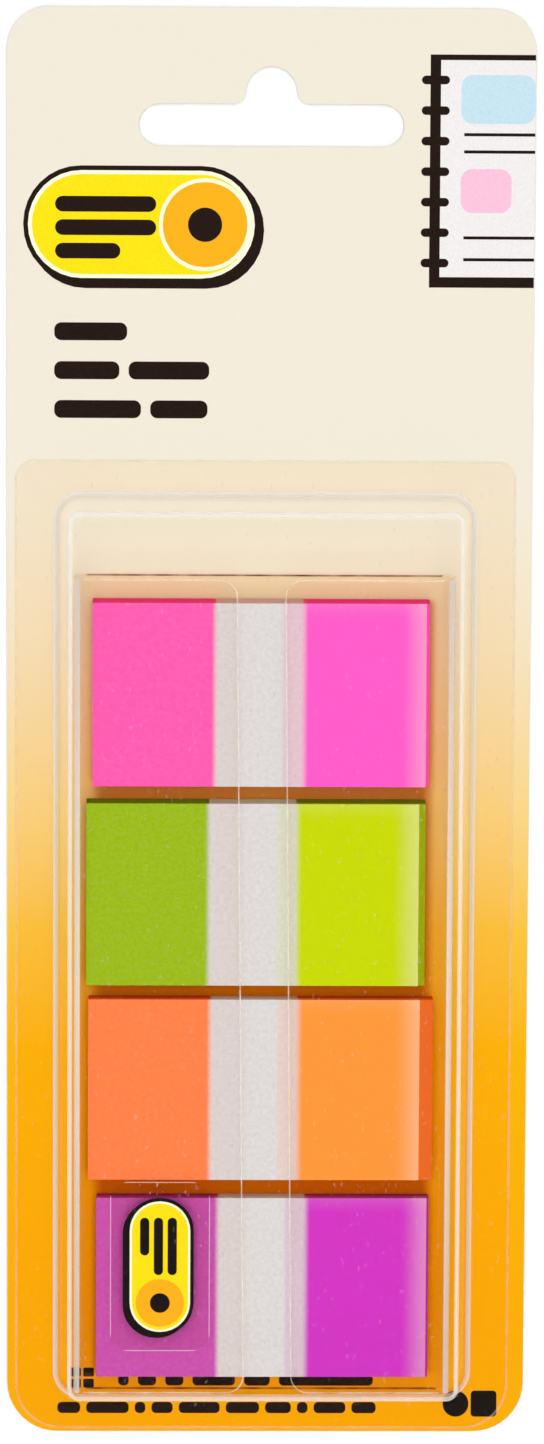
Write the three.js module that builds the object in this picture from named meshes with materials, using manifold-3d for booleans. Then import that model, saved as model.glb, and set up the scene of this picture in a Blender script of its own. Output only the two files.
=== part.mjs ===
// A hang pack of sticky index tabs, in millimetres.
// The pack lies on the back of its card: +Z rises out of the clear dome,
// +Y runs towards the hang hole and X runs across the card.
// The origin is the middle of the card's back face.

import * as THREE from 'three';
import { mergeVertices } from 'three/addons/utils/BufferGeometryUtils.js';
import Module from 'manifold-3d';

// Backing card
const CARD_WIDTH = 68;
const CARD_LENGTH = 186;
const CARD_THICKNESS = 0.5;
const CARD_TOP_RADIUS = 5.4;
const CARD_BOTTOM_RADIUS = 6.6;

// Hang hole: a long slot with a round bump over its middle
const HANG_SLOT_LENGTH = 34.2;
const HANG_SLOT_HEIGHT = 5.5;
const HANG_BUMP_RADIUS = 3.35;
const HANG_BUMP_RISE = 4.8;
const HANG_FILLET = 1.5;
const HANG_EDGE = 12.2;

// Tabs: thin film, in pads of alternating leaves
const TAB_LENGTH = 43.2;
const TAB_WIDTH = 23.8;
const LEAF_THICKNESS = 0.06;
const LEAVES_PER_PAD = 40;
const ADHESIVE_BOND = 0.01;

// Dispenser sleeve: one clear film with two rolled folds and two wings
const SLEEVE_FILM = 0.3;
const FOLD_RADIUS = 1.5;
const FLOOR_ROOM = 3.15;
const PULL_ROOM = 1.4;
const PAD_GAP = 2.15;
const SLEEVE_TOP_MARGIN = 3.6;
const SLEEVE_BOTTOM_MARGIN = 2.3;
const WING_SLOT = 6.1;
const WING_SLOT_SHIFT = 0.15;
const WING_CORNER_RADIUS = 2.3;
const WING_SETBACK = 0.4;
const WING_SKEW = THREE.MathUtils.degToRad(0.65);

// Blister: one thermoformed film, a flange sealed to the card and a dome
const BLISTER_FILM = 0.25;
const DOME_RISE = 11.25;
const DOME_DRAFT = THREE.MathUtils.degToRad(10);
const DOME_CORNER_RADIUS = 3.4;
const DOME_FOOT_FILLET = 0.8;
const DOME_ROOF_FILLET = 1.0;
const DOME_SIDE_CLEARANCE = 1.5;
const DOME_END_CLEARANCE = 0.3;
const DOME_HEAD_ROOM = 9.4;
const FLANGE_SIDE = 5.3;
const FLANGE_END = 4.4;
const FLANGE_TOP_RADIUS = 2.5;
const FLANGE_BOTTOM_RADIUS = 6;
const FLANGE_EDGE_GAP = 0.4;
const BLISTER_SHIFT = -0.5;
const SLEEVE_SLIP = -0.1;

// Label: a small clear sticker on the left wing
const LABEL_WIDTH = 13;
const LABEL_LENGTH = 22.4;
const LABEL_THICKNESS = 0.1;
const LABEL_CORNER_RADIUS = 2.4;
const LABEL_FROM_SLOT = 3.9;
const LABEL_FROM_END = 6.1;

// Fineness of the curves
const ARC_STEPS = 5;
const CORNER_STEPS = 8;
const FILLET_STEPS = 4;

// The four pads, from the hang hole down. start is the bare sleeve floor
// left of the pad, slip its drift towards the hang hole, overhang how far
// the tabs with their tip on the right stand out past the top tab, and
// rise how far the bottom leaf has crept up behind the top one.
const PADS = [
  { name: 'pink_pad', colour: 0xff5ab4, start: 0.93, slip: 0, overhang: 0.45, rise: 0.48 },
  { name: 'green_pad', colour: 0xb4d210, start: 0.15, slip: -0.1, overhang: 0.85, rise: 0.4 },
  { name: 'orange_pad', colour: 0xff8c42, start: 0.42, slip: 0.2, overhang: 1.75, rise: 0.15 },
  { name: 'purple_pad', colour: 0xcc3cbc, start: 1.5, slip: -0.05, overhang: 0.3, rise: 0.12 },
];

// Sizes that follow from the ones above
const padStack = LEAVES_PER_PAD * LEAF_THICKNESS;
const padPitch = TAB_WIDTH + PAD_GAP;
const sleeveWidth = TAB_LENGTH + FLOOR_ROOM + 2 * FOLD_RADIUS;
const sleeveLength = SLEEVE_TOP_MARGIN + PADS.length * padPitch - PAD_GAP + SLEEVE_BOTTOM_MARGIN;
const sleeveHeight = padStack + PULL_ROOM + 2 * SLEEVE_FILM;
const sleeveTop = CARD_THICKNESS + sleeveHeight;
const flangeTop = CARD_THICKNESS + BLISTER_FILM;
const wallFoot = BLISTER_FILM / Math.cos(DOME_DRAFT) + (sleeveTop - flangeTop) * Math.tan(DOME_DRAFT);
const domeWidth = sleeveWidth + 2 * (DOME_SIDE_CLEARANCE + wallFoot);
const domeLength = sleeveLength - WING_SETBACK + DOME_END_CLEARANCE + 2 * wallFoot + DOME_HEAD_ROOM;
const domeBottom = -CARD_LENGTH / 2 + FLANGE_EDGE_GAP + FLANGE_END;
const sleeveX = BLISTER_SHIFT + SLEEVE_SLIP;
const sleeveBottom = domeBottom + wallFoot + DOME_END_CLEARANCE - WING_SETBACK;
const sleeveY = sleeveBottom + sleeveLength / 2;
const floorStart = sleeveX - sleeveWidth / 2 + FOLD_RADIUS;
const slotX = sleeveX + WING_SLOT_SHIFT;

const wasm = await Module();
wasm.setup();

// Solids for joining and cutting

function toSolid(geometry) {
  const bare = geometry.clone();
  bare.deleteAttribute('normal');
  bare.deleteAttribute('uv');
  const merged = mergeVertices(bare, 1e-4);
  return new wasm.Manifold(new wasm.Mesh({
    numProp: 3,
    vertProperties: Float32Array.from(merged.attributes.position.array),
    triVerts: Uint32Array.from(merged.index.array),
  }));
}

function toGeometry(solid) {
  const mesh = solid.getMesh();
  const geometry = new THREE.BufferGeometry();
  geometry.setAttribute('position', new THREE.BufferAttribute(mesh.vertProperties, 3));
  geometry.setIndex(new THREE.BufferAttribute(mesh.triVerts, 1));
  geometry.computeVertexNormals();
  return geometry;
}

// Flat outlines

function roundedPath(path, width, length, topRadius, bottomRadius) {
  const x = width / 2;
  const y = length / 2;
  path.moveTo(-x + bottomRadius, -y);
  path.lineTo(x - bottomRadius, -y);
  path.absarc(x - bottomRadius, -y + bottomRadius, bottomRadius, -Math.PI / 2, 0, false);
  path.lineTo(x, y - topRadius);
  path.absarc(x - topRadius, y - topRadius, topRadius, 0, Math.PI / 2, false);
  path.lineTo(-x + topRadius, y);
  path.absarc(-x + topRadius, y - topRadius, topRadius, Math.PI / 2, Math.PI, false);
  path.lineTo(-x, -y + bottomRadius);
  path.absarc(-x + bottomRadius, -y + bottomRadius, bottomRadius, Math.PI, 1.5 * Math.PI, false);
  return path;
}

function hangHole(x, y) {
  const end = (HANG_SLOT_LENGTH - HANG_SLOT_HEIGHT) / 2;
  const half = HANG_SLOT_HEIGHT / 2;
  const shoulder = HANG_BUMP_RADIUS + HANG_FILLET;
  const crown = y + half + HANG_BUMP_RISE - HANG_BUMP_RADIUS;
  const hole = new THREE.Path();
  hole.moveTo(x - end, y - half);
  hole.lineTo(x + end, y - half);
  hole.absarc(x + end, y, half, -Math.PI / 2, Math.PI / 2, false);
  hole.lineTo(x + shoulder, y + half);
  hole.absarc(x + shoulder, y + half + HANG_FILLET, HANG_FILLET, -Math.PI / 2, -Math.PI, true);
  hole.absarc(x, crown, HANG_BUMP_RADIUS, 0, Math.PI, false);
  hole.absarc(x - shoulder, y + half + HANG_FILLET, HANG_FILLET, 0, -Math.PI / 2, true);
  hole.lineTo(x - end, y + half);
  hole.absarc(x - end, y, half, Math.PI / 2, 1.5 * Math.PI, false);
  return hole;
}

function slab(shape, thickness) {
  return new THREE.ExtrudeGeometry(shape, {
    depth: thickness,
    bevelEnabled: false,
    curveSegments: ARC_STEPS,
  });
}

// Backing card: stiff paperboard with round corners and the hang hole

function backingCard() {
  const outline = roundedPath(
    new THREE.Shape(), CARD_WIDTH, CARD_LENGTH, CARD_TOP_RADIUS, CARD_BOTTOM_RADIUS,
  );
  outline.holes.push(hangHole(0, CARD_LENGTH / 2 - HANG_EDGE - HANG_SLOT_HEIGHT / 2));
  return slab(outline, CARD_THICKNESS);
}

// Blister: rings of one rounded rectangle, from the roof down the outside
// to the rim of the flange, and back up the inside to the roof

function ring(width, length, topRadius, bottomRadius, z) {
  const points = [];
  const corners = [[1, -1], [1, 1], [-1, 1], [-1, -1]];
  corners.forEach(([sx, sy], corner) => {
    const radius = sy > 0 ? topRadius : bottomRadius;
    for (let step = 0; step <= CORNER_STEPS; step += 1) {
      const angle = (corner - 1 + step / CORNER_STEPS) * Math.PI / 2;
      points.push(new THREE.Vector3(
        sx * (width / 2 - radius) + radius * Math.cos(angle),
        sy * (length / 2 - radius) + radius * Math.sin(angle),
        z,
      ));
    }
  });
  return points;
}

function loft(rings) {
  const count = rings[0].length;
  const positions = rings.flat().flatMap((point) => point.toArray());
  const faces = [];
  for (let row = 0; row + 1 < rings.length; row += 1) {
    for (let i = 0; i < count; i += 1) {
      const next = (i + 1) % count;
      const a = row * count + i;
      const b = row * count + next;
      const c = (row + 1) * count + next;
      const d = (row + 1) * count + i;
      faces.push(a, d, c, a, c, b);
    }
  }
  const last = (rings.length - 1) * count;
  for (let i = 1; i + 1 < count; i += 1) {
    faces.push(0, i, i + 1);
    faces.push(last, last + i + 1, last + i);
  }
  const geometry = new THREE.BufferGeometry();
  geometry.setAttribute('position', new THREE.Float32BufferAttribute(positions, 3));
  geometry.setIndex(faces);
  geometry.computeVertexNormals();
  return geometry;
}

function blister() {
  const lean = DOME_DRAFT;
  const roof = flangeTop + DOME_RISE;
  const roofCentre = new THREE.Vector2(
    (-DOME_ROOF_FILLET - (DOME_RISE - DOME_ROOF_FILLET) * Math.sin(lean)) / Math.cos(lean),
    roof - DOME_ROOF_FILLET,
  );
  const footCentre = new THREE.Vector2(
    DOME_FOOT_FILLET * (1 - Math.sin(lean)) / Math.cos(lean),
    flangeTop + DOME_FOOT_FILLET,
  );
  // An arc of the wall's section, as offsets out from the foot line and heights
  const arc = (centre, radius, from, to) => {
    const points = [];
    for (let step = 0; step <= FILLET_STEPS; step += 1) {
      const angle = from + (to - from) * step / FILLET_STEPS;
      points.push([centre.x + radius * Math.cos(angle), centre.y + radius * Math.sin(angle)]);
    }
    return points;
  };
  const domeRing = ([out, z]) => ring(
    domeWidth + 2 * out, domeLength + 2 * out,
    DOME_CORNER_RADIUS + out, DOME_CORNER_RADIUS + out, z,
  );
  const flangeRing = (z) => ring(
    domeWidth + 2 * FLANGE_SIDE, domeLength + 2 * FLANGE_END,
    FLANGE_TOP_RADIUS, FLANGE_BOTTOM_RADIUS, z,
  );
  const up = Math.PI / 2;
  const outside = [
    ...arc(roofCentre, DOME_ROOF_FILLET, up, lean),
    ...arc(footCentre, DOME_FOOT_FILLET, Math.PI + lean, Math.PI + up),
  ];
  const inside = [
    ...arc(footCentre, DOME_FOOT_FILLET + BLISTER_FILM, Math.PI + up, Math.PI + lean),
    ...arc(roofCentre, DOME_ROOF_FILLET - BLISTER_FILM, lean, up),
  ];
  return loft([
    ...outside.map(domeRing),
    flangeRing(flangeTop),
    flangeRing(CARD_THICKNESS),
    ...inside.map(domeRing),
  ]);
}

// Dispenser sleeve: a flat tube of film, its upper layer trimmed to two wings

function wingOutline(side) {
  const end = sleeveLength / 2 - WING_SETBACK;
  const drift = Math.tan(WING_SKEW) * end;
  const edge = slotX - sleeveX + side * WING_SLOT / 2;
  const outer = side * sleeveWidth;
  const radius = WING_CORNER_RADIUS;
  const wing = new THREE.Path();
  wing.moveTo(outer, -end);
  wing.lineTo(edge + drift + side * radius, -end);
  wing.quadraticCurveTo(edge + drift, -end, edge + drift, -end + radius);
  wing.lineTo(edge - drift, end - radius);
  wing.quadraticCurveTo(edge - drift, end, edge - drift + side * radius, end);
  wing.lineTo(outer, end);
  return wing;
}

function dispenserSleeve() {
  const section = roundedPath(new THREE.Shape(), sleeveWidth, sleeveHeight, FOLD_RADIUS, FOLD_RADIUS);
  const innerRadius = FOLD_RADIUS - SLEEVE_FILM;
  section.holes.push(roundedPath(
    new THREE.Path(), sleeveWidth - 2 * SLEEVE_FILM, sleeveHeight - 2 * SLEEVE_FILM,
    innerRadius, innerRadius,
  ));
  const tube = slab(section, sleeveLength);
  tube.translate(0, 0, -sleeveLength / 2);
  tube.rotateX(Math.PI / 2);
  tube.translate(0, 0, sleeveHeight / 2);
  const waste = roundedPath(new THREE.Shape(), 3 * sleeveWidth, 2 * sleeveLength, 1, 1);
  waste.holes.push(wingOutline(-1), wingOutline(1));
  const trimmer = slab(waste, sleeveHeight);
  trimmer.translate(0, 0, sleeveHeight / 2);
  return toGeometry(toSolid(tube).subtract(toSolid(trimmer)));
}

// Pads: leaves stacked by turns, tip to the right and tip to the left

function pad({ overhang, rise }) {
  let stack = null;
  for (let leaf = 0; leaf < LEAVES_PER_PAD; leaf += 1) {
    const depth = LEAVES_PER_PAD - 1 - leaf;
    const tipRight = depth % 2 === 0;
    const aside = tipRight && depth > 0 ? overhang : 0;
    const creep = rise * depth / (LEAVES_PER_PAD - 1);
    const bond = leaf > 0 ? ADHESIVE_BOND : 0;
    const sheet = new THREE.BoxGeometry(TAB_LENGTH, TAB_WIDTH, LEAF_THICKNESS + bond);
    sheet.translate(
      TAB_LENGTH / 2 + aside,
      TAB_WIDTH / 2 + creep,
      (leaf + 0.5) * LEAF_THICKNESS - bond / 2,
    );
    const solid = toSolid(sheet);
    stack = stack ? stack.add(solid) : solid;
  }
  return toGeometry(stack);
}

// Label: a clear sticker with round corners

function label() {
  return slab(
    roundedPath(new THREE.Shape(), LABEL_WIDTH, LABEL_LENGTH, LABEL_CORNER_RADIUS, LABEL_CORNER_RADIUS),
    LABEL_THICKNESS,
  );
}

// Finishes

function finish(color, roughness, opacity = 1) {
  return new THREE.MeshStandardMaterial({
    color, roughness, metalness: 0, opacity, transparent: opacity < 1,
  });
}

// Assembly

const pack = new THREE.Group();

function place(name, geometry, material, x, y, z, parent = pack) {
  const mesh = new THREE.Mesh(geometry, material);
  mesh.name = name;
  mesh.position.set(x, y, z);
  parent.add(mesh);
  return mesh;
}

place('backing_card', backingCard(), finish(0xfdb420, 0.6), 0, 0, 0);
place('blister', blister(), finish(0xf4f6f8, 0.1, 0.2), BLISTER_SHIFT, domeBottom + domeLength / 2, 0);

const dispenser = new THREE.Group();
dispenser.position.set(0, 0, CARD_THICKNESS);
pack.add(dispenser);

place('dispenser_sleeve', dispenserSleeve(), finish(0xeef1f2, 0.12, 0.3), sleeveX, sleeveY, 0, dispenser);
PADS.forEach((tabs, row) => {
  const top = sleeveBottom + sleeveLength - SLEEVE_TOP_MARGIN - row * padPitch + tabs.slip;
  place(
    tabs.name, pad(tabs), finish(tabs.colour, 0.5),
    floorStart + tabs.start, top - TAB_WIDTH, SLEEVE_FILM, dispenser,
  );
});
place(
  'dispenser_label', label(), finish(0xf6f4ec, 0.3, 0.5),
  slotX - WING_SLOT / 2 - LABEL_FROM_SLOT - LABEL_WIDTH / 2,
  sleeveBottom + LABEL_FROM_END + LABEL_LENGTH / 2,
  sleeveHeight, dispenser,
);

export default pack;
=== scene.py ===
"""A hang pack of sticky index tabs: printed card, clear blister, folded sleeve and four pads of tabs."""

import math

import bmesh
import bpy
from bpy.props import FloatProperty, FloatVectorProperty, PointerProperty
from mathutils import Matrix, Vector


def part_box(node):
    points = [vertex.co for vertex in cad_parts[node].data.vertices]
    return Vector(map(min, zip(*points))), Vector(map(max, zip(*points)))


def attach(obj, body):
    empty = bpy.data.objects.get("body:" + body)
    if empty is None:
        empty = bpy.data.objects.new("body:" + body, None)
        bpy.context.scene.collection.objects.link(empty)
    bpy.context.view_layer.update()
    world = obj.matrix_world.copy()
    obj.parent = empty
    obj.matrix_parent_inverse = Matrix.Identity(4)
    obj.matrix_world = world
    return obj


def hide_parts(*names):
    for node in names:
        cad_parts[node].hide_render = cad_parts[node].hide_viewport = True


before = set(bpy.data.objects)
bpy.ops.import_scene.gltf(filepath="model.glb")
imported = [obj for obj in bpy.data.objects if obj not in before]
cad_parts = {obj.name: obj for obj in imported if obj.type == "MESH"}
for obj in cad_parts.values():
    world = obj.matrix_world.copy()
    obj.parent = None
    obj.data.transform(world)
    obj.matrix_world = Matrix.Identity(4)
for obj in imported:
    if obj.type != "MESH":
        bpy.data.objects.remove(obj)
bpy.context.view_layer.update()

bl_info = {
    "name": "Index Tab Pack",
    "version": (1, 0, 0),
    "blender": (4, 5, 0),
    "location": "3D View > Sidebar > Tab Pack",
    "description": "Dresses a carded pack of sticky index tabs",
    "category": "Object",
}

MM = 0.001
BODY = "root"
PADS = ("pink", "green", "orange", "purple")
CORNER_STEPS = 12  # faces round a corner of the blister
FOLD_STEPS = 10  # faces round a fold or a wing corner of the sleeve
FILLET_STEPS = 8  # faces round a fillet of the blister or a corner of print

# Clear film: the share of light that one face reflects head on, and how much more at a glance
HEAD_ON = 0.006
GLANCE = 0.22
# How white clear film is painted as painted highlights along the blister's rounds and the sleeve's folds,
# and how white it turns in its scratches
ROUND_HIGHLIGHT = 0.55
FOLD_HIGHLIGHT = 0.56
DOME_SCRATCH = 0.05
SLEEVE_SCRATCH = 0.07
LABEL_SCRATCH = 0.1


def box_mm(node):
    """A node's lowest and highest corner, in millimetres."""
    low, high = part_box(node)
    return Vector(low) / MM, Vector(high) / MM


CARD_LOW, CARD_HIGH = box_mm("backing_card")
BLISTER_LOW, BLISTER_HIGH = box_mm("blister")
SLEEVE_LOW, SLEEVE_HIGH = box_mm("dispenser_sleeve")
LABEL_LOW, LABEL_HIGH = box_mm("dispenser_label")
CARD_FACE = CARD_HIGH.z
FILM_LIFT = 0.04  # air between a clear film and the face it lies on
INK = 0.006  # thickness of a layer of print
INK_LIFT = 0.004  # air under the lowest layer of print
LAYER_STEP = INK * 1.4  # from one layer of print to the next


def srgb(red, green, blue):
    """A display colour of 0 to 255 as the linear colour that shaders take."""
    def linear(value):
        value /= 255
        return value / 12.92 if value <= 0.04045 else ((value + 0.055) / 1.055) ** 2.4
    return (linear(red), linear(green), linear(blue), 1.0)


# Settings

def length(label, description, default):
    """A size as a setting. default is in millimetres."""
    return FloatProperty(
        name=label, description=description, default=default * MM, unit="LENGTH", precision=5,
    )


def colour(label, description, *default):
    """A colour as a setting. default is its red, green and blue on a display."""
    return FloatVectorProperty(
        name=label, description=description, default=srgb(*default)[:3], subtype="COLOR", min=0, max=1,
    )


class CardSettings(bpy.types.PropertyGroup):
    cream: colour("Cream", "Board colour at the hang hole end", 236, 229, 212)
    straw: colour("Straw", "Board colour above the middle", 237, 221, 189)
    sand: colour("Sand", "Board colour at the middle", 241, 208, 133)
    maize: colour("Maize", "Board colour below the middle", 242, 191, 62)
    orange: colour("Orange", "Board colour at two thirds of the way down", 243, 177, 3)
    amber: colour("Amber", "Board colour at the lower end", 243, 169, 1)
    board: colour("Board", "Bare board on the back and the cut edges", 226, 220, 207)


class BlisterSettings(bpy.types.PropertyGroup):
    film: length("Film", "Thickness of the formed film", 0.25)
    roof_fillet: length("Roof fillet", "Round of the dome's upper edge", 1.0)
    foot_fillet: length("Foot fillet", "Round where the dome meets the flange", 0.8)
    foot_corner: length("Foot corner", "Corner radius at the dome's foot", 3.4)
    flange_low: length("Low flange corner", "Corner radius of the flange by the card's foot", 6.0)
    flange_high: length("High flange corner", "Corner radius of the flange by the hang hole", 2.5)
    flange_side: length("Side flange", "Flange width along the dome's sides", 5.3)
    flange_end: length("End flange", "Flange width at the dome's ends", 4.4)
    # Painted highlight: the hem is a light line painted along the flange's cut edge
    hem: length("Hem", "Width of the light line along the flange's cut edge", 0.3)
    draft: FloatProperty(
        name="Draft", description="Lean of the dome's walls", default=math.radians(10),
        subtype="ANGLE",
    )


class SleeveSettings(bpy.types.PropertyGroup):
    film: length("Film", "Thickness of the folded film", 0.26)
    fold: length("Fold", "Outer radius of the folds", 1.5)
    slot: length("Slot", "Gap between the two wings", 6.1)
    slot_shift: length("Slot shift", "How far the slot lies right of the middle", 0.15)
    wing_corner: length("Wing corner", "Radius of the wings' inner corners", 2.3)
    setback: length("Setback", "How far the wings stop short of the floor", 0.4)
    # Painted highlight: the hem is a light line painted along the wings' cut edges
    hem: length("Hem", "Width of the light line along the wings' cut edges", 0.17)
    # Painted reflection: the end line is a dark line painted along the floor's cut ends
    end_line: length("End line", "Width of the dark line along the floor's cut ends", 0.3)
    skew: FloatProperty(
        name="Skew", description="Turn of the slot out of square", default=math.radians(0.65),
        subtype="ANGLE",
    )


class TabSettings(bpy.types.PropertyGroup):
    tip: length("Tip", "Length of the coloured tip of a tab", 15.8)
    tab: length("Tab", "Length of a tab", 43.2)
    width: length("Width", "Width of a tab", 23.8)
    # Painted highlight: glow is the width of the light rim painted on the right tips
    glow: length("Glow", "Width of the light rim of the right tips", 2.2)
    frost: colour("Frost", "Frosted film between the tips", 211, 209, 210)
    # Each pad's deep colour is partly the lower leaves' own colour and partly painted shade
    pink: colour("Pink", "Right tips of the first pad", 255, 94, 212)
    pink_left: colour("Pink left", "The same on the left", 255, 88, 186)
    pink_deep: colour("Pink deep", "The leaves below the top one", 238, 62, 128)
    green: colour("Green", "Right tips of the second pad", 198, 224, 0)
    green_left: colour("Green left", "The same on the left", 150, 191, 0)
    green_deep: colour("Green deep", "The leaves below the top one", 112, 124, 2)
    orange: colour("Orange", "Right tips of the third pad", 255, 156, 62)
    orange_left: colour("Orange left", "The same on the left", 255, 130, 72)
    orange_deep: colour("Orange deep", "The leaves below the top one", 214, 66, 8)
    purple: colour("Purple", "Right tips of the fourth pad", 208, 56, 206)
    purple_left: colour("Purple left", "The same on the left", 200, 76, 182)
    purple_deep: colour("Purple deep", "The leaves below the top one", 160, 30, 96)


class StageSettings(bpy.types.PropertyGroup):
    side_power: FloatProperty(
        name="Side power", description="Power of each side lamp", default=0.9, unit="POWER",
    )
    end_power: FloatProperty(
        name="End power", description="Power of each end lamp", default=2.2, unit="POWER",
    )
    top_power: FloatProperty(
        name="Top power", description="Power of the lamp overhead", default=6.1, unit="POWER",
    )
    sky: FloatProperty(name="Sky", description="Strength of the soft light all round", default=0.27)


# Node helpers

class Graph:
    """One node material, with its place on the piece in millimetres."""

    def __init__(self, name):
        self.material = bpy.data.materials.new(name)
        self.material.use_nodes = True
        self.tree = self.material.node_tree
        self.tree.nodes.clear()
        self.output = self.add("ShaderNodeOutputMaterial")
        coordinates = self.add("ShaderNodeTexCoord")
        mapping = self.add("ShaderNodeMapping")
        mapping.inputs["Scale"].default_value = (1 / MM, 1 / MM, 1 / MM)
        self.link(coordinates.outputs["Object"], mapping.inputs["Vector"])
        self.place = mapping.outputs["Vector"]
        split = self.add("ShaderNodeSeparateXYZ")
        self.link(self.place, split.inputs["Vector"])
        self.x, self.y, self.z = split.outputs

    def add(self, kind):
        return self.tree.nodes.new(kind)

    def link(self, source, target):
        self.tree.links.new(source, target)

    def put(self, value, socket):
        """Links value to the socket, or sets it there where it is a plain value."""
        if isinstance(value, bpy.types.NodeSocket):
            self.link(value, socket)
        else:
            socket.default_value = value

    def math(self, operation, *values, clamp=False):
        node = self.add("ShaderNodeMath")
        node.operation = operation
        node.use_clamp = clamp
        for value, socket in zip(values, node.inputs):
            self.put(value, socket)
        return node.outputs["Value"]

    def rise(self, value, start, end):
        """0 below start, 1 above end, smooth between. start may lie above end."""
        node = self.add("ShaderNodeMapRange")
        node.interpolation_type = "SMOOTHSTEP"
        self.put(value, node.inputs["Value"])
        node.inputs["From Min"].default_value = start
        node.inputs["From Max"].default_value = end
        return node.outputs["Result"]

    def band(self, value, low, high, soft):
        """1 between low and high, 0 outside, with soft edges."""
        above = self.rise(value, low - soft, low + soft)
        below = self.rise(value, high + soft, high - soft)
        return self.math("MULTIPLY", above, below)

    def blend(self, factor, first, second, mode="MIX"):
        """The colour first where factor is 0, and second where it is 1."""
        node = self.add("ShaderNodeMix")
        node.data_type = "RGBA"
        node.blend_type = mode
        node.clamp_factor = True
        self.put(factor, node.inputs[0])
        self.put(first, node.inputs[6])
        self.put(second, node.inputs[7])
        return node.outputs[2]

    def facing(self, axis):
        """1 on a face square to the axis, whichever side it faces, and 0 on one along it."""
        split = self.add("ShaderNodeSeparateXYZ")
        self.link(self.add("ShaderNodeNewGeometry").outputs["Normal"], split.inputs["Vector"])
        return self.math("ABSOLUTE", split.outputs[axis])

    def noise(self, scale, detail=3.0, stretch=(1, 1, 1), rough=0.5):
        mapping = self.add("ShaderNodeMapping")
        mapping.inputs["Scale"].default_value = stretch
        self.link(self.place, mapping.inputs["Vector"])
        node = self.add("ShaderNodeTexNoise")
        self.link(mapping.outputs["Vector"], node.inputs["Vector"])
        node.inputs["Scale"].default_value = scale
        node.inputs["Detail"].default_value = detail
        node.inputs["Roughness"].default_value = rough
        return node.outputs["Fac"]

    def ramp(self, value, stops):
        """A run of colours along value. stops are (place, colour) in order."""
        node = self.add("ShaderNodeValToRGB")
        elements = node.color_ramp.elements
        for place, _ in stops[2:]:
            elements.new(place)
        for element, (place, shade) in zip(elements, stops):
            element.position = place
            element.color = shade
        self.put(value, node.inputs["Fac"])
        return node.outputs["Color"]

    def bump(self, height, strength, distance):
        """A surface roughened by height. distance is in metres."""
        node = self.add("ShaderNodeBump")
        node.inputs["Strength"].default_value = strength
        node.inputs["Distance"].default_value = distance
        self.put(height, node.inputs["Height"])
        return node.outputs["Normal"]

    def surface(self, **values):
        """A Principled shader as the material's surface. Names are its sockets, with _ for a space."""
        shader = self.add("ShaderNodeBsdfPrincipled")
        for name, value in values.items():
            self.put(value, shader.inputs[name.replace("_", " ")])
        self.link(shader.outputs["BSDF"], self.output.inputs["Surface"])
        return self.material


def opaque(shade):
    """A setting's colour as a shader takes it."""
    return (*shade[:3], 1.0)


# Materials

def card_material(settings):
    """Coated board: a wash from cream to orange on the face, bare board on the back and the edges."""
    g = Graph("printed_board")
    height = CARD_HIGH.y - CARD_LOW.y
    along = g.math("DIVIDE", g.math("SUBTRACT", CARD_HIGH.y, g.y), height)
    stops = (
        (0.34, "cream"), (0.44, "straw"), (0.556, "sand"),
        (0.64, "maize"), (0.725, "orange"), (0.9, "amber"),
    )
    wash = g.ramp(along, [(place, opaque(getattr(settings, name))) for place, name in stops])
    grain = g.noise(1.6, 4.0)
    wash = g.blend(g.math("MULTIPLY", grain, 0.04), wash, srgb(225, 205, 170), "MULTIPLY")
    fibres = g.noise(2.2, 6.0, (1.0, 0.35, 1.0), 0.65)
    bare = g.blend(g.rise(fibres, 0.35, 0.7), opaque(settings.board), srgb(205, 196, 180))
    face = g.rise(g.z, CARD_FACE - 0.03, CARD_FACE - 0.01)
    skin = g.blend(face, bare, wash)
    matt = g.math("ADD", g.math("MULTIPLY", grain, 0.12), 0.72)
    gloss = g.math("ADD", g.math("MULTIPLY", face, -0.32), matt)
    return g.surface(
        Base_Color=skin, Roughness=gloss, Specular_IOR_Level=0.05,
        Normal=g.bump(fibres, 0.12, 0.00004),
    )


def ink_material(name, *shade):
    """Printing ink: a flat colour with the faint mottle of offset print."""
    g = Graph(name)
    mottle = g.noise(5.0, 3.0)
    light = srgb(*(min(255, part + 8) for part in shade))
    return g.surface(
        Base_Color=g.blend(g.rise(mottle, 0.3, 0.7), srgb(*shade), light),
        Roughness=g.math("ADD", g.math("MULTIPLY", mottle, 0.15), 0.38),
        Specular_IOR_Level=0.15, Normal=g.bump(mottle, 0.05, 0.00002),
    )


def make_inks():
    """The inks of the print, made once and shared."""
    shades = {
        "dark": (28, 12, 6), "black": (16, 8, 6), "pale": (255, 248, 214), "yellow": (255, 220, 2),
        "amber": (255, 172, 12), "white": (232, 229, 228), "blue": (190, 218, 231), "pink": (242, 188, 212),
    }
    inks = {}
    for name, shade in shades.items():
        inks[name] = bpy.data.materials.get("ink_" + name) or ink_material("ink_" + name, *shade)
    return inks


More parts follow.
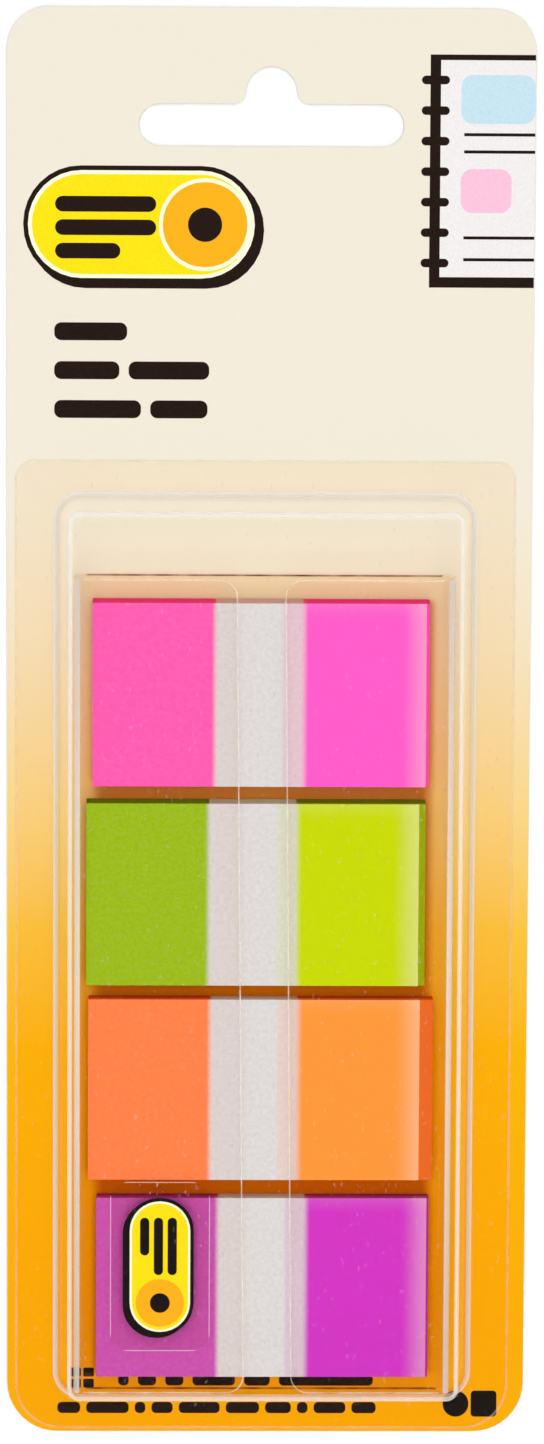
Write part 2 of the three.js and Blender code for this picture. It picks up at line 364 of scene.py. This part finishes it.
def film_material(name, tint, milk_and_highlight_colour, milk_and_highlight, gloss):
    """Clear film. tint(g) is what a pass through one face leaves of the light, milk_and_highlight(g) is
    where the film shows white, as real whitening in some places and as a painted highlight in others,
    milk_and_highlight_colour is the colour of that white, and gloss the film's roughness."""
    g = Graph(name)
    clear = g.add("ShaderNodeBsdfTransparent")
    g.put(tint(g), clear.inputs["Color"])
    shine = g.add("ShaderNodeBsdfGlossy")
    shine.inputs["Color"].default_value = (1, 1, 1, 1)
    shine.inputs["Roughness"].default_value = gloss
    slant = g.add("ShaderNodeLayerWeight").outputs["Facing"]
    glance = g.math("MULTIPLY", g.math("POWER", slant, 5.0), GLANCE)
    polished = g.add("ShaderNodeMixShader")
    g.link(g.math("ADD", glance, HEAD_ON), polished.inputs["Fac"])
    g.link(clear.outputs["BSDF"], polished.inputs[1])
    g.link(shine.outputs["BSDF"], polished.inputs[2])
    milk_and_highlight_shader = g.add("ShaderNodeBsdfDiffuse")
    g.put(milk_and_highlight_colour, milk_and_highlight_shader.inputs["Color"])
    whole = g.add("ShaderNodeMixShader")
    g.put(milk_and_highlight(g), whole.inputs["Fac"])
    g.link(polished.outputs["Shader"], whole.inputs[1])
    g.link(milk_and_highlight_shader.outputs["BSDF"], whole.inputs[2])
    g.link(whole.outputs["Shader"], g.output.inputs["Surface"])
    return g.material


def scratches(g, amount):
    """Fine rubbed specks that stand white in clear film."""
    specks = g.rise(g.noise(2.2, 0.0, (1.0, 0.45, 1.0)), 0.78, 0.84)
    return g.math("MULTIPLY", specks, amount)


def blister_material():
    """The dome's film: painted highlights, white along its two rounds, and a warm cast where it lies on the
    card.
    """
    foot_start = CARD_FACE + 0.35
    foot_end = CARD_FACE + 1.1
    roof_start = BLISTER_HIGH.z - 0.95
    flange_tint = (1.0, 0.983, 0.958, 1)
    dome_tint = (1.0, 0.994, 0.986, 1)

    def tint(g):
        return g.blend(g.rise(g.z, foot_start, foot_start + 0.1), flange_tint, dome_tint)

    def milk_and_highlight(g):
        slant = g.facing("Z")
        # Painted highlights: white bands along the foot round and along the roof round
        foot = g.math("MULTIPLY", g.band(g.z, foot_start, foot_end, 0.12), g.band(slant, 0.28, 0.86, 0.05))
        roof = g.math("MULTIPLY", g.rise(g.z, roof_start - 0.3, roof_start), g.band(slant, 0.28, 0.8, 0.06))
        painted_round_highlights = g.math("MULTIPLY", g.math("ADD", foot, roof), ROUND_HIGHLIGHT)
        return g.math("ADD", painted_round_highlights, scratches(g, DOME_SCRATCH))

    return film_material("blister_film", tint, srgb(255, 253, 248), milk_and_highlight, 0.06)


def sleeve_material():
    """The sleeve's film: a warm cast on the floor and painted shade, a brown cast, in the gaps between the
    pads, a faint grey in the wings, and painted highlights, white in the folds."""
    middle = (SLEEVE_LOW.z + SLEEVE_HIGH.z) / 2
    centre = (SLEEVE_LOW.x + SLEEVE_HIGH.x) / 2
    half = (SLEEVE_HIGH.x - SLEEVE_LOW.x) / 2
    pads_high = box_mm("pink_pad")[1].y
    pads_low = box_mm("purple_pad")[0].y
    floor_tint = (1.0, 0.964, 0.92, 1)
    gap_shade_tint = (0.92, 0.765, 0.6, 1)
    wing_tint = (0.998, 0.982, 0.976, 1)
    gap_inner = 20.6  # the painted shade between the pads is whole this far from the middle
    gap_outer = 22.8  # and gone this far out

    def tint(g):
        aside = g.math("ABSOLUTE", g.math("SUBTRACT", g.x, centre))
        across = g.rise(aside, gap_outer, gap_inner)
        # Painted shade: the floor between the pads is cast brown where the pads would shade it
        painted_gap_shade = g.math("MULTIPLY", across, g.rise(g.y, pads_high + 0.2, pads_high - 0.6))
        painted_gap_shade = g.math("MULTIPLY", painted_gap_shade, g.rise(g.y, pads_low - 0.4, pads_low + 0.1))
        floor = g.blend(painted_gap_shade, floor_tint, gap_shade_tint)
        return g.blend(g.rise(g.z, middle - 0.5, middle + 0.5), floor, wing_tint)

    def milk_and_highlight(g):
        aside = g.math("ABSOLUTE", g.math("SUBTRACT", g.x, centre))
        # Painted highlight: the outer part of each fold is painted white above the sleeve's middle height
        fold = g.band(aside, half - 0.85, half - 0.08, 0.1)
        upper = g.rise(g.z, middle - 0.3, middle + 0.6)
        white = g.math("MULTIPLY", g.math("MULTIPLY", fold, upper), FOLD_HIGHLIGHT)
        return g.math("ADD", white, scratches(g, SLEEVE_SCRATCH))

    return film_material("sleeve_film", tint, srgb(255, 252, 248), milk_and_highlight, 0.08)


def film_edge_material(name, amount, clear_shade):
    """A cut edge of clear film, which gathers the light and turns part white."""
    def tint(g):
        return g.blend(g.noise(0.4, 1.0), clear_shade, (0.99, 0.975, 0.955, 1))

    def milk_and_highlight(g):
        return g.math("MULTIPLY", g.rise(g.noise(0.5, 1.0), 0.0, 0.8), amount)

    return film_material(name, tint, srgb(255, 247, 234), milk_and_highlight, 0.12)


def label_material():
    """The small sticker's clear film, with a faint haze and a light rim."""
    def tint(g):
        return g.blend(g.noise(0.5), (0.985, 0.975, 0.965, 1), (0.975, 0.965, 0.955, 1))

    def milk_and_highlight(g):
        centre = (LABEL_LOW + LABEL_HIGH) / 2
        half = (LABEL_HIGH - LABEL_LOW) / 2
        across = g.math("SUBTRACT", g.math("ABSOLUTE", g.math("SUBTRACT", g.x, centre.x)), half.x)
        down = g.math("SUBTRACT", g.math("ABSOLUTE", g.math("SUBTRACT", g.y, centre.y)), half.y)
        rim = g.rise(g.math("MAXIMUM", across, down), -0.14, -0.06)
        return g.math("ADD", g.math("MULTIPLY", rim, 0.3), scratches(g, LABEL_SCRATCH))

    return film_material("label_film", tint, srgb(252, 246, 252), milk_and_highlight, 0.1)


def pad_material(pad, settings):
    """Frosted film tabs: a bright tip on the right with a painted highlight along its rim, the next tab's
    tip through the frost on the left, deeper colour, partly their own and partly painted shade, where lower
    leaves show past the top one, and painted light on the sides."""
    g = Graph(pad + "_tabs")
    low, high = box_mm(pad + "_pad")
    tip = settings.tip / MM
    glow = settings.glow / MM
    end = low.x + settings.tab / MM
    head = low.y + settings.width / MM
    bright, left, deep = (opaque(getattr(settings, pad + part)) for part in ("", "_left", "_deep"))
    mottle = g.noise(1.9, 4.0, (1, 1, 1), 0.65)
    fuzz = g.rise(mottle, 0.3, 0.72)
    frost = g.blend(fuzz, opaque(settings.frost), srgb(223, 221, 223))
    veiled = g.blend(g.math("MULTIPLY", fuzz, 0.05), left, srgb(255, 250, 205))
    # Painted highlight: the right tips lighten towards their ends and their upper edge
    side_light = g.math("MULTIPLY", g.rise(g.x, end - glow * 1.6, end + 0.6), 0.28)
    head_light = g.math("MULTIPLY", g.rise(g.y, head - glow, head + 0.6), 0.07)
    clean = g.blend(g.math("ADD", side_light, head_light), bright, srgb(255, 244, 225))
    ghost = g.math("MULTIPLY", g.rise(g.x, end - tip - 2.9, end - tip - 2.5), 0.17)
    skin = g.blend(ghost, frost, bright)
    skin = g.blend(g.rise(g.x, low.x + tip + 0.45, low.x + tip - 0.45), skin, veiled)
    skin = g.blend(g.rise(g.x, end - tip - 0.5, end - tip + 0.6), skin, clean)
    beside = g.rise(g.x, end + 0.02, end + 0.08)
    behind = g.rise(g.y, head + 0.02, head + 0.08)
    lower = g.rise(g.z, high.z - 0.05, high.z - 0.09)
    middle = g.band(g.x, low.x + tip + 0.15, end - tip - 0.15, 0.15)
    # Lower leaves: their own deeper colour, darkened further with painted shade
    under = g.blend(g.math("MULTIPLY", middle, 0.8), deep, srgb(206, 186, 160))
    skin = g.blend(beside, skin, g.blend(0.12, bright, deep))
    skin = g.blend(g.math("MAXIMUM", behind, g.math("MULTIPLY", lower, 0.6)), skin, under)
    # Painted light: the pads' sides facing left and right are painted lighter, towards cream
    painted_light_flank = g.blend(0.25, left, srgb(255, 240, 215))
    skin = g.blend(g.rise(g.facing("X"), 0.4, 0.6), skin, painted_light_flank)
    grain = g.noise(7.0, 3.0)
    return g.surface(
        Base_Color=skin, Roughness=g.math("ADD", g.math("MULTIPLY", mottle, 0.2), 0.5),
        Specular_IOR_Level=0.08, Normal=g.bump(grain, 0.1, 0.00003),
    )


# Mesh helpers

def finish_piece(name, shape, *materials):
    """Turns a bmesh in millimetres into a piece that rides on the pack."""
    bmesh.ops.transform(shape, matrix=Matrix.Diagonal((MM, MM, MM, 1)), verts=shape.verts)
    mesh = bpy.data.meshes.new(name)
    shape.to_mesh(mesh)
    shape.free()
    piece = bpy.data.objects.new(name, mesh)
    bpy.context.scene.collection.objects.link(piece)
    for material in materials:
        mesh.materials.append(material)
    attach(piece, BODY)
    return piece


def rectangle(shape, low, high, z):
    """A flat face between two corners, given as (x, y). Its corners run from low right round to low left."""
    places = ((high[0], low[1]), (high[0], high[1]), (low[0], high[1]), (low[0], low[1]))
    return shape.faces.new([shape.verts.new((x, y, z)) for x, y in places])


def round_corners(shape, corners, radius, segments):
    """Rounds flat corners, given as vertices."""
    bmesh.ops.bevel(
        shape, geom=corners, offset=radius, offset_type="OFFSET", segments=segments,
        profile=0.5, affect="VERTICES", material=-1,
    )


def round_edges(shape, edges, radius, segments):
    """Rounds edges between faces."""
    return bmesh.ops.bevel(
        shape, geom=edges, offset=radius, offset_type="OFFSET", segments=segments,
        profile=0.5, affect="EDGES", material=-1,
    )


def smooth_rounds(shape, widest):
    """Smooth shading on slanting faces smaller than widest square millimetres, flat on the rest."""
    for face in shape.faces:
        face.smooth = face.calc_area() < widest and abs(face.normal.z) < 0.999


def give_thickness(piece, thickness):
    """Grows a skin inwards to its real film thickness. The cut edges take the second material."""
    solid = piece.modifiers.new("film", "SOLIDIFY")
    solid.thickness = thickness
    solid.offset = -1
    solid.use_even_offset = True
    solid.material_offset_rim = 1


# Pieces

def build_blister(settings):
    """One formed skin: flange, foot round, leaning walls, roof round and roof."""
    floor = CARD_FACE + FILM_LIFT + settings.film / MM
    side = settings.flange_side / MM
    end = settings.flange_end / MM
    rise = BLISTER_HIGH.z - floor
    foot_low = (BLISTER_LOW.x + side, BLISTER_LOW.y + end)
    foot_high = (BLISTER_HIGH.x - side, BLISTER_HIGH.y - end)
    shape = bmesh.new()

    flange = rectangle(shape, BLISTER_LOW.xy, BLISTER_HIGH.xy, floor)
    middle = (BLISTER_LOW.y + BLISTER_HIGH.y) / 2
    low_corners = [vert for vert in flange.verts if vert.co.y < middle]
    high_corners = [vert for vert in flange.verts if vert.co.y > middle]
    round_corners(shape, low_corners, settings.flange_low / MM, CORNER_STEPS)
    round_corners(shape, high_corners, settings.flange_high / MM, CORNER_STEPS)
    inner = shape.faces[:]
    hem = bmesh.ops.inset_region(shape, faces=inner, thickness=settings.hem / MM, use_boundary=True)
    for face in hem["faces"]:
        face.material_index = 1
    rim = list(inner[0].edges)
    bmesh.ops.delete(shape, geom=inner, context="FACES_ONLY")
    flange_edges = set(shape.edges)

    foot = rectangle(shape, foot_low, foot_high, floor)
    round_corners(shape, list(foot.verts), settings.foot_corner / MM, CORNER_STEPS)
    roof = shape.faces[:][-1]
    bmesh.ops.inset_region(
        shape, faces=[roof], thickness=rise * math.tan(settings.draft), depth=rise,
        use_boundary=True, use_even_offset=True,
    )
    roof_loop = list(roof.edges)
    foot_loop = [edge for edge in shape.edges if edge.is_boundary and edge not in flange_edges]
    flat = bmesh.ops.bridge_loops(shape, edges=rim + foot_loop)
    for face in flat["faces"]:
        face.material_index = 0
    round_edges(shape, roof_loop, settings.roof_fillet / MM, FILLET_STEPS)
    foot_loop = [edge for edge in foot_loop if edge.is_valid]
    round_edges(shape, foot_loop, settings.foot_fillet / MM, FILLET_STEPS)
    bmesh.ops.recalc_face_normals(shape, faces=shape.faces)
    smooth_rounds(shape, widest=30)
    piece = finish_piece(
        "blister_shell", shape, blister_material(),
        # Painted highlight: the cut edges and the hem are partly painted white
        film_edge_material("blister_edge", 0.12, (0.99, 0.975, 0.95, 1)),
    )
    give_thickness(piece, settings.film)
    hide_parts("blister")


def build_sleeve(settings):
    """The folded sleeve: an open section drawn out along the pack, with rounded folds and wing corners."""
    low_z = SLEEVE_LOW.z + FILM_LIFT
    high_z = SLEEVE_HIGH.z - FILM_LIFT / 2
    middle = (SLEEVE_LOW.x + SLEEVE_HIGH.x) / 2 + settings.slot_shift / MM
    half_slot = settings.slot / MM / 2
    run = SLEEVE_HIGH.y - SLEEVE_LOW.y
    section = (
        (middle - half_slot, high_z), (SLEEVE_LOW.x, high_z), (SLEEVE_LOW.x, low_z),
        (SLEEVE_HIGH.x, low_z), (SLEEVE_HIGH.x, high_z), (middle + half_slot, high_z),
    )
    shape = bmesh.new()
    start = [shape.verts.new((x, SLEEVE_LOW.y, z)) for x, z in section]
    line = [shape.edges.new(pair) for pair in zip(start, start[1:])]
    drawn = bmesh.ops.extrude_edge_only(shape, edges=line)
    end = [item for item in drawn["geom"] if isinstance(item, bmesh.types.BMVert)]
    bmesh.ops.translate(shape, vec=(0, run, 0), verts=end)

    drift = math.tan(settings.skew) * run / 2
    setback = settings.setback / MM
    tips = []
    for vert in shape.verts:
        if vert.co.z > (low_z + high_z) / 2:
            toward_end = 1 if vert.co.y > SLEEVE_LOW.y + run / 2 else -1
            vert.co.y -= toward_end * setback
            if abs(vert.co.x - middle) < half_slot + 0.01:
                vert.co.x -= toward_end * drift
                tips.append(vert)
    folds = [
        edge for edge in shape.edges
        if abs(edge.verts[0].co.y - edge.verts[1].co.y) > run / 2 and not edge.is_boundary
    ]
    round_corners(shape, tips, settings.wing_corner / MM, FOLD_STEPS)
    round_edges(shape, folds, settings.fold / MM, FOLD_STEPS)
    wings = [face for face in shape.faces if face.calc_center_median().z > high_z - 0.01]
    hem = bmesh.ops.inset_region(shape, faces=wings, thickness=settings.hem / MM, use_boundary=True)
    for face in hem["faces"]:
        if any(edge.is_boundary for edge in face.edges):
            face.material_index = 1
    floor = min(shape.faces, key=lambda face: face.calc_center_median().z)
    ends = bmesh.ops.inset_region(
        shape, faces=[floor], thickness=settings.end_line / MM, use_boundary=True,
    )
    for face in ends["faces"]:
        if any(edge.is_boundary for edge in face.edges):
            face.material_index = 2
    bmesh.ops.recalc_face_normals(shape, faces=shape.faces)
    if floor.normal.z > 0:
        bmesh.ops.reverse_faces(shape, faces=shape.faces)
    smooth_rounds(shape, widest=60)
    piece = finish_piece(
        "sleeve_film", shape, sleeve_material(),
        # Painted highlight: the wings' cut edges and hems are partly painted white
        film_edge_material("sleeve_edge", 0.42, (0.97, 0.955, 0.93, 1)),
        # Painted reflection: a dark reddish tint on the floor's cut ends
        film_edge_material("sleeve_end", 0.02, (0.52, 0.3, 0.27, 1)),
    )
    give_thickness(piece, settings.film)
    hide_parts("dispenser_sleeve")


# Print: each patch of ink is a thin plate with round corners

def patch(centre, size, radius, z):
    """A rounded plate of ink as a mesh. centre and size are given as (x, y)."""
    shape = bmesh.new()
    half = (size[0] / 2, size[1] / 2)
    face = rectangle(shape, (-half[0], -half[1]), half, z)
    if radius > 0:
        round_corners(shape, list(face.verts), min(radius, *half) * 0.999, FILLET_STEPS)
    grown = bmesh.ops.extrude_face_region(shape, geom=shape.faces[:])
    top = [item for item in grown["geom"] if isinstance(item, bmesh.types.BMVert)]
    bmesh.ops.translate(shape, vec=(0, 0, INK), verts=top)
    bmesh.ops.translate(shape, vec=(*centre, 0), verts=shape.verts)
    plate = bpy.data.meshes.new("plate")
    shape.to_mesh(plate)
    shape.free()
    return plate


def print_piece(name, ink, patches, surface=None, layer=0):
    """All patches of one ink and one layer as one piece, on the card's face or at surface's height."""
    z = (CARD_FACE if surface is None else surface) + INK_LIFT + layer * LAYER_STEP
    shape = bmesh.new()
    for centre, size, radius in patches:
        plate = patch(centre, size, radius, z)
        shape.from_mesh(plate)
        bpy.data.meshes.remove(plate)
    bmesh.ops.recalc_face_normals(shape, faces=shape.faces)
    piece = finish_piece(name, shape, ink)


def between(low, high, radius=0.0):
    """A patch from its low to its high corner."""
    centre = ((low[0] + high[0]) / 2, (low[1] + high[1]) / 2)
    return (centre, (high[0] - low[0], high[1] - low[1]), radius)


def word_bars(left, baseline, height, words, space):
    """A line of print as one rounded bar to a word. words are their widths, in order."""
    bars = []
    for width in words:
        bars.append(((left + width / 2, baseline + height / 2), (width, height), height * 0.4))
        left += width + space
    return bars


def print_layers(inks, rows, surface=None):
    """One patch on top of the other. Each row is a name, an ink, and the patch's centre, size and radius."""
    for layer, (name, ink, *shape) in enumerate(rows):
        print_piece(name, inks[ink], [tuple(shape)], surface=surface, layer=layer)


def print_emblem(inks):
    """A yellow pill with an amber disc, in a dark outline with a shadow."""
    x, y = (-16.7, 65.3)
    disc = (x + 8.2, y)
    print_layers(inks, (
        ("emblem_shadow", "dark", (x + 0.6, y - 0.7), (30.4, 15.0), 7.4),
        ("emblem_outline", "dark", (x, y), (30.4, 15.0), 7.4),
        ("emblem_line", "pale", (x, y), (29.2, 13.8), 6.9),
        ("emblem_field", "yellow", (x, y), (28.2, 12.8), 6.4),
        ("emblem_disc_line", "pale", disc, (11.9, 11.9), 5.9),
        ("emblem_disc", "amber", disc, (10.9, 10.9), 5.4),
    ))
    print_piece("emblem_bars", inks["dark"], [
        ((x - 4.6, y + 2.6), (13.0, 2.0), 1.0), ((x - 4.6, y - 0.4), (13.0, 2.0), 1.0),
        ((x - 6.9, y - 3.4), (8.4, 2.0), 1.0), (disc, (4.4, 4.4), 2.2),
    ], layer=6)


def print_notebook(inks):
    """A ruled page with rings on its left, cut off by the card's edge."""
    low, high = (20.4, 57.4), (CARD_HIGH.x - 0.05, 87.2)
    line = 1.35
    print_piece("page_outline", inks["dark"], [between(low, high)])
    face = between((low[0] + line, low[1] + line), (high[0], high[1] - 0.7))
    blue = between((low[0] + 4.0, high[1] - 8.8), (high[0], high[1] - 2.6), 1.5)
    pink = between((low[0] + 4.0, low[1] + 9.6), (high[0] - 3.0, low[1] + 15.2), 1.5)
    rules = []
    for rise in (3.4, 6.2, 17.2, 19.4):
        rules.append(between((low[0] + 4.4, low[1] + rise), (high[0], low[1] + rise + 0.4)))
    rings = []
    for step in range(7):
        y = low[1] + 2.6 + 3.9 * step
        rings.append(between((low[0] - 1.1, y), (low[0] + 2.5, y + 1.1), 0.55))
    print_piece("page_face", inks["white"], [face], layer=1)
    print_piece("page_blue", inks["blue"], [blue], layer=2)
    print_piece("page_pink", inks["pink"], [pink], layer=2)
    print_piece("page_rules", inks["dark"], rules, layer=2)
    print_piece("page_rings", inks["dark"], rings, layer=3)


def build_print(inks):
    """Everything printed on the card's face."""
    print_emblem(inks)
    print_notebook(inks)
    lines = []
    for baseline, words in ((50.4, (9.4,)), (45.4, (8.4, 10.4)), (40.4, (11.2, 7.4))):
        lines += word_bars(-27.9, baseline, 2.3, words, 1.2)
    lines += word_bars(-27.4, -90.6, 1.5, (3.0, 5.6, 1.4, 2.8, 5.4, 4.4, 3.4, 1.4, 4.2, 3.2), 0.8)
    lines += word_bars(-19.4, -86.9, 1.5, (1.4, 2.4, 2.4, 5.6, 3.4, 12.4), 1.2)
    for column in range(2):
        for row in range(2):
            lines.append(((-25.0 + column * 1.7, -86.6 + row * 1.5), (1.4, 1.2), 0.2))
    print_piece("text_bars", inks["dark"], lines)
    mark = [((25.15, -89.3), (3.4, 3.5), 1.7), ((28.85, -89.3), (3.4, 3.5), 0.5)]
    print_piece("corner_mark", inks["black"], mark)


def build_label_print(inks):
    """The small emblem on the clear sticker."""
    x = (LABEL_LOW.x + LABEL_HIGH.x) / 2
    y = (LABEL_LOW.y + LABEL_HIGH.y) / 2
    top = LABEL_HIGH.z
    disc = (x, y - 4.8)
    print_layers(inks, (
        ("label_shadow", "black", (x - 0.45, y - 0.35), (8.8, 18.2), 4.3),
        ("label_outline", "black", (x, y), (8.8, 18.2), 4.3),
        ("label_line", "pale", (x, y), (7.9, 17.3), 3.9),
        ("label_field", "yellow", (x, y), (7.3, 16.7), 3.6),
        ("label_disc", "amber", disc, (6.3, 6.3), 3.1),
    ), surface=top)
    print_piece("label_bars", inks["black"], [
        ((x + 1.6, y + 2.7), (1.2, 7.6), 0.6), ((x - 0.2, y + 2.7), (1.2, 7.6), 0.6),
        ((x - 2.0, y + 4.0), (1.2, 5.0), 0.6), (disc, (2.6, 2.6), 1.3),
    ], surface=top, layer=5)


# Stage

# The camera that fits the photograph: its place in millimetres, its turn in degrees, its focal length
CAMERA_PLACE = (-9.65436, 54.24577, 576.83337)
CAMERA_TURN = (-5.27979, -0.97680, 0.29394)
FOCAL_PIXELS = 4448.465
PHOTO_WIDTH = 544
PHOTO_HEIGHT = 1444
SENSOR = 36.0
FILM_FACES = 24  # the most faces of clear film that light crosses on its way in and out
FLOOR_HALF = 4.0  # half the side of the white floor, in metres
FLOOR_DROP = 0.0002  # how far the floor lies under the pack, in metres


def build_camera():
    """The camera, with the photograph's frame."""
    data = bpy.data.cameras.new("camera")
    data.sensor_fit = "VERTICAL"
    data.sensor_height = SENSOR
    data.sensor_width = SENSOR * PHOTO_WIDTH / PHOTO_HEIGHT
    data.lens = FOCAL_PIXELS / PHOTO_HEIGHT * SENSOR
    data.clip_start = 0.01
    camera = bpy.data.objects.new("camera", data)
    camera.location = Vector(CAMERA_PLACE) * MM
    camera.rotation_euler = [math.radians(angle) for angle in CAMERA_TURN]
    bpy.context.scene.collection.objects.link(camera)
    bpy.context.scene.camera = camera


def build_lamp(name, place, width, depth, power):
    """A soft lamp that faces the pack. place, width and depth are in metres."""
    data = bpy.data.lights.new(name, "AREA")
    data.shape = "RECTANGLE"
    data.size = width
    data.size_y = depth
    data.energy = power
    lamp = bpy.data.objects.new(name, data)
    lamp.location = place
    lamp.rotation_euler = (-Vector(place)).to_track_quat("-Z", "Y").to_euler()
    bpy.context.scene.collection.objects.link(lamp)
    return lamp


def build_floor():
    """The white surface that the pack lies on, a hair under it."""
    shape = bmesh.new()
    bmesh.ops.create_grid(shape, x_segments=4, y_segments=4, size=FLOOR_HALF)
    bmesh.ops.translate(shape, vec=(0, 0, -FLOOR_DROP), verts=shape.verts)
    mesh = bpy.data.meshes.new("floor")
    shape.to_mesh(mesh)
    shape.free()
    floor = bpy.data.objects.new("floor", mesh)
    bpy.context.scene.collection.objects.link(floor)
    g = Graph("floor_white")
    mesh.materials.append(g.surface(Base_Color=(1, 1, 1, 1), Roughness=0.9, Specular_IOR_Level=0.0))


def build_world(strength):
    """White to the camera and low down in reflections, dark overhead, soft light elsewhere."""
    world = bpy.data.worlds.new("studio")
    bpy.context.scene.world = world
    world.use_nodes = True
    tree = world.node_tree
    tree.nodes.clear()
    output = tree.nodes.new("ShaderNodeOutputWorld")
    path = tree.nodes.new("ShaderNodeLightPath")
    coordinates = tree.nodes.new("ShaderNodeTexCoord")
    split = tree.nodes.new("ShaderNodeSeparateXYZ")
    fade = tree.nodes.new("ShaderNodeMapRange")
    soft = tree.nodes.new("ShaderNodeBackground")
    shine = tree.nodes.new("ShaderNodeBackground")
    white = tree.nodes.new("ShaderNodeBackground")
    reflected = tree.nodes.new("ShaderNodeMixShader")
    seen = tree.nodes.new("ShaderNodeMixShader")
    link = tree.links.new
    link(coordinates.outputs["Generated"], split.inputs["Vector"])
    link(split.outputs["Z"], fade.inputs["Value"])
    fade.inputs["From Min"].default_value = 0.35
    fade.inputs["From Max"].default_value = 0.8
    fade.inputs["To Min"].default_value = 1.0
    fade.inputs["To Max"].default_value = 0.0
    link(fade.outputs["Result"], shine.inputs["Strength"])
    soft.inputs["Strength"].default_value = strength
    white.inputs["Strength"].default_value = 1.0
    for node in (soft, shine, white):
        node.inputs["Color"].default_value = (1, 1, 1, 1)
    link(path.outputs["Is Glossy Ray"], reflected.inputs["Fac"])
    link(soft.outputs["Background"], reflected.inputs[1])
    link(shine.outputs["Background"], reflected.inputs[2])
    link(path.outputs["Is Camera Ray"], seen.inputs["Fac"])
    link(reflected.outputs["Shader"], seen.inputs[1])
    link(white.outputs["Background"], seen.inputs[2])
    link(seen.outputs["Shader"], output.inputs["Surface"])


# Operators

class TABPACK_OT_stage(bpy.types.Operator):
    """Sets the camera, the lamps, the white floor and the backdrop"""
    bl_idname = "tabpack.stage"
    bl_label = "Stage"

    def execute(self, context):
        settings = context.scene.tabpack_stage
        build_camera()
        build_floor()
        build_world(settings.sky)
        build_lamp("left_lamp", (-0.5, -0.05, 0.8), 1.2, 0.4, settings.side_power)
        build_lamp("right_lamp", (0.5, -0.05, 0.8), 1.2, 0.4, settings.side_power)
        build_lamp("head_lamp", (0.0, 0.6, 0.8), 0.7, 0.4, settings.end_power)
        build_lamp("foot_lamp", (0.0, -0.65, 0.8), 0.7, 0.4, settings.end_power)
        top = build_lamp("top_lamp", (0.0, 0.0, 1.2), 0.8, 0.8, settings.top_power)
        top.visible_glossy = False  # or the flat films would mirror it
        context.scene.view_settings.view_transform = "Standard"
        context.scene.cycles.transparent_max_bounces = FILM_FACES
        return {"FINISHED"}


class TABPACK_OT_card(bpy.types.Operator):
    """Finishes the board and prints its face"""
    bl_idname = "tabpack.card"
    bl_label = "Card and Print"

    def execute(self, context):
        settings = context.scene.tabpack_card
        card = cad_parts["backing_card"]
        card.material_slots[0].material = card_material(settings)
        build_print(make_inks())
        return {"FINISHED"}


class TABPACK_OT_blister(bpy.types.Operator):
    """Forms the clear blister"""
    bl_idname = "tabpack.blister"
    bl_label = "Blister"

    def execute(self, context):
        build_blister(context.scene.tabpack_blister)
        return {"FINISHED"}


class TABPACK_OT_sleeve(bpy.types.Operator):
    """Folds the clear dispenser sleeve"""
    bl_idname = "tabpack.sleeve"
    bl_label = "Sleeve"

    def execute(self, context):
        build_sleeve(context.scene.tabpack_sleeve)
        return {"FINISHED"}


class TABPACK_OT_pads(bpy.types.Operator):
    """Colours the four pads of tabs"""
    bl_idname = "tabpack.pads"
    bl_label = "Pads"

    def execute(self, context):
        for pad in PADS:
            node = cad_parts[pad + "_pad"]
            node.material_slots[0].material = pad_material(pad, context.scene.tabpack_tabs)
        return {"FINISHED"}


class TABPACK_OT_label(bpy.types.Operator):
    """Finishes and prints the small clear sticker"""
    bl_idname = "tabpack.label"
    bl_label = "Label"

    def execute(self, context):
        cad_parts["dispenser_label"].material_slots[0].material = label_material()
        build_label_print(make_inks())
        return {"FINISHED"}


class TABPACK_PT_panel(bpy.types.Panel):
    bl_idname = "TABPACK_PT_panel"
    bl_label = "Index Tab Pack"
    bl_space_type = "VIEW_3D"
    bl_region_type = "UI"
    bl_category = "Tab Pack"

    def draw(self, context):
        for operator in STEPS:
            self.layout.operator(operator.bl_idname)
        for group in GROUPS:
            box = self.layout.box()
            box.label(text=group)
            settings = getattr(context.scene, group)
            for name in settings.bl_rna.properties.keys():
                if name not in ("rna_type", "name"):
                    box.prop(settings, name)


GROUPS = {
    "tabpack_card": CardSettings,
    "tabpack_blister": BlisterSettings,
    "tabpack_sleeve": SleeveSettings,
    "tabpack_tabs": TabSettings,
    "tabpack_stage": StageSettings,
}
STEPS = (
    TABPACK_OT_stage, TABPACK_OT_card, TABPACK_OT_sleeve,
    TABPACK_OT_pads, TABPACK_OT_label, TABPACK_OT_blister,
)


def register():
    """Adds the settings, the operators and the panel."""
    for group in GROUPS.values():
        bpy.utils.register_class(group)
    for step in STEPS:
        bpy.utils.register_class(step)
    bpy.utils.register_class(TABPACK_PT_panel)
    for name, group in GROUPS.items():
        setattr(bpy.types.Scene, name, PointerProperty(type=group))


def unregister():
    """Takes them away again."""
    for name in GROUPS:
        delattr(bpy.types.Scene, name)
    bpy.utils.unregister_class(TABPACK_PT_panel)
    for step in reversed(STEPS):
        bpy.utils.unregister_class(step)
    for group in reversed(GROUPS.values()):
        bpy.utils.unregister_class(group)


def main():
    """Runs every operator in turn."""
    register()
    for step in STEPS:
        name = step.bl_idname.split(".")[1]
        getattr(bpy.ops.tabpack, name)()


if __name__ == "__main__":
    main()
